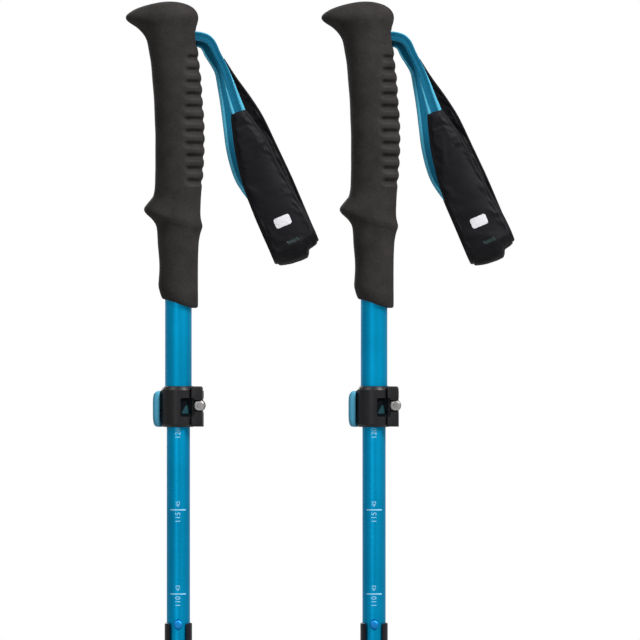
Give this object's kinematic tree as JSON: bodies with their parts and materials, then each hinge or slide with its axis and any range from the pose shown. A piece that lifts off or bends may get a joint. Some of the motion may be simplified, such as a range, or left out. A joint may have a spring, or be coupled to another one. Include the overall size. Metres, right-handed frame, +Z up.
{
  "type": "trekking poles",
  "caption": "Pair of adjustable folding trekking poles with ribbed grips, padded wrist straps, lever clamps, push-button joints, baskets and hard tips.",
  "frame": {"origin": "centre of the flat end of the left pole's hard tip", "axes": "+Z up the shafts, +X from the left pole to the right one, -X the front of each grip, +Y away from the viewer"},
  "size_m": [0.2353, 0.048, 1.2],
  "materials": {
    "grip_rubber": "matte, fine moulded grain",
    "core_plastic": "plain moulded",
    "steel": "bright",
    "webbing": "woven, bright edges",
    "pad_fabric": "padded, fine weave",
    "shaft_blue": "satin anodised",
    "shaft_inner": "satin anodised with printed length marks",
    "clamp_plastic": "satin moulded",
    "lever_plastic": "satin moulded",
    "joint_plastic": "satin moulded",
    "button_metal": "satin anodised",
    "cord": "braided",
    "tip_plastic": "satin moulded",
    "carbide": "ground"
  },
  "bodies": {
    "left_grip_body": {"left_grip": "grip_rubber", "left_grip_core": "core_plastic", "left_strap_pin": "steel", "left_strap_neck": "webbing", "left_upper_shaft": "shaft_blue", "left_clamp_collar": "clamp_plastic", "left_clamp_washer": "steel", "left_lever_pin": "steel"},
    "left_lever": {"left_clamp_lever": "lever_plastic"},
    "left_screw": {"left_clamp_screw": "steel"},
    "left_strap": {"left_strap_webbing": "webbing", "left_strap_tail": "webbing", "left_strap_pad": "pad_fabric"},
    "left_inner": {"left_inner_shaft": "shaft_inner", "left_shaft_guide": "joint_plastic", "left_joint_sleeve": "joint_plastic", "left_cord_carriage": "core_plastic", "left_button_spring": "steel"},
    "left_button": {"left_push_button": "button_metal"},
    "left_middle": {"left_middle_shaft": "shaft_blue", "left_middle_spigot": "joint_plastic", "left_middle_cord": "cord", "left_middle_sleeve": "joint_plastic"},
    "left_lower": {"left_lower_shaft": "shaft_blue", "left_lower_spigot": "joint_plastic", "left_lower_cord": "cord", "left_tip_body": "tip_plastic", "left_carbide_tip": "carbide", "left_basket": "tip_plastic"},
    "right_grip_body": {"right_grip": "grip_rubber", "right_grip_core": "core_plastic", "right_strap_pin": "steel", "right_strap_neck": "webbing", "right_upper_shaft": "shaft_blue", "right_clamp_collar": "clamp_plastic", "right_clamp_washer": "steel", "right_lever_pin": "steel"},
    "right_lever": {"right_clamp_lever": "lever_plastic"},
    "right_screw": {"right_clamp_screw": "steel"},
    "right_strap": {"right_strap_webbing": "webbing", "right_strap_tail": "webbing", "right_strap_pad": "pad_fabric"},
    "right_inner": {"right_inner_shaft": "shaft_inner", "right_shaft_guide": "joint_plastic", "right_joint_sleeve": "joint_plastic", "right_cord_carriage": "core_plastic", "right_button_spring": "steel"},
    "right_button": {"right_push_button": "button_metal"},
    "right_middle": {"right_middle_shaft": "shaft_blue", "right_middle_spigot": "joint_plastic", "right_middle_cord": "cord", "right_middle_sleeve": "joint_plastic"},
    "right_lower": {"right_lower_shaft": "shaft_blue", "right_lower_spigot": "joint_plastic", "right_lower_cord": "cord", "right_tip_body": "tip_plastic", "right_carbide_tip": "carbide", "right_basket": "tip_plastic"}
  },
  "joints": [
    {"name": "left_lever_open", "type": "hinge", "parent": "left_grip_body", "child": "left_lever", "pos_m": [0.0128, 0.0086, 0.955], "axis": [0, 0, -1], "range_deg": [0, 150]},
    {"name": "left_screw_turn", "type": "hinge", "parent": "left_grip_body", "child": "left_screw", "pos_m": [0.0128, 0, 0.9569], "axis": [0, 1, 0], "range_deg": [-180, 180]},
    {"name": "left_strap_swing", "type": "hinge", "parent": "left_grip_body", "child": "left_strap", "pos_m": [0.022, 0, 1.166], "axis": [1, 0, 0], "range_deg": [-60, 60]},
    {"name": "left_length_adjust", "type": "slide", "parent": "left_grip_body", "child": "left_inner", "axis": [0, 0, 1], "range_m": [-0.05, 0.1]},
    {"name": "left_button_press", "type": "slide", "parent": "left_inner", "child": "left_button", "axis": [0, 1, 0], "range_m": [0, 0.002], "stiffness_N_per_m": 800, "springref_m": -0.001, "deforming": ["left_button_spring"]},
    {"name": "left_upper_joint_pull", "type": "slide", "parent": "left_inner", "child": "left_middle", "axis": [0, 0, -1], "range_m": [0, 0.06], "stiffness_N_per_m": 300, "springref_m": -0.05},
    {"name": "left_lower_joint_pull", "type": "slide", "parent": "left_middle", "child": "left_lower", "axis": [0, 0, -1], "range_m": [0, 0.06], "stiffness_N_per_m": 300, "springref_m": -0.05},
    {"name": "poles_apart", "type": "slide", "parent": "left_grip_body", "child": "right_grip_body", "axis": [1, 0, 0], "range_m": [0, 0.3]},
    {"name": "right_lever_open", "type": "hinge", "parent": "right_grip_body", "child": "right_lever", "pos_m": [0.1305, 0.0086, 0.955], "axis": [0, 0, -1], "range_deg": [0, 150]},
    {"name": "right_screw_turn", "type": "hinge", "parent": "right_grip_body", "child": "right_screw", "pos_m": [0.1305, 0, 0.9569], "axis": [0, 1, 0], "range_deg": [-180, 180]},
    {"name": "right_strap_swing", "type": "hinge", "parent": "right_grip_body", "child": "right_strap", "pos_m": [0.1397, 0, 1.166], "axis": [1, 0, 0], "range_deg": [-60, 60]},
    {"name": "right_length_adjust", "type": "slide", "parent": "right_grip_body", "child": "right_inner", "axis": [0, 0, 1], "range_m": [-0.05, 0.1]},
    {"name": "right_button_press", "type": "slide", "parent": "right_inner", "child": "right_button", "axis": [0, 1, 0], "range_m": [0, 0.002], "stiffness_N_per_m": 800, "springref_m": -0.001, "deforming": ["right_button_spring"]},
    {"name": "right_upper_joint_pull", "type": "slide", "parent": "right_inner", "child": "right_middle", "axis": [0, 0, -1], "range_m": [0, 0.06], "stiffness_N_per_m": 300, "springref_m": -0.05},
    {"name": "right_lower_joint_pull", "type": "slide", "parent": "right_middle", "child": "right_lower", "axis": [0, 0, -1], "range_m": [0, 0.06], "stiffness_N_per_m": 300, "springref_m": -0.05}
  ]
}
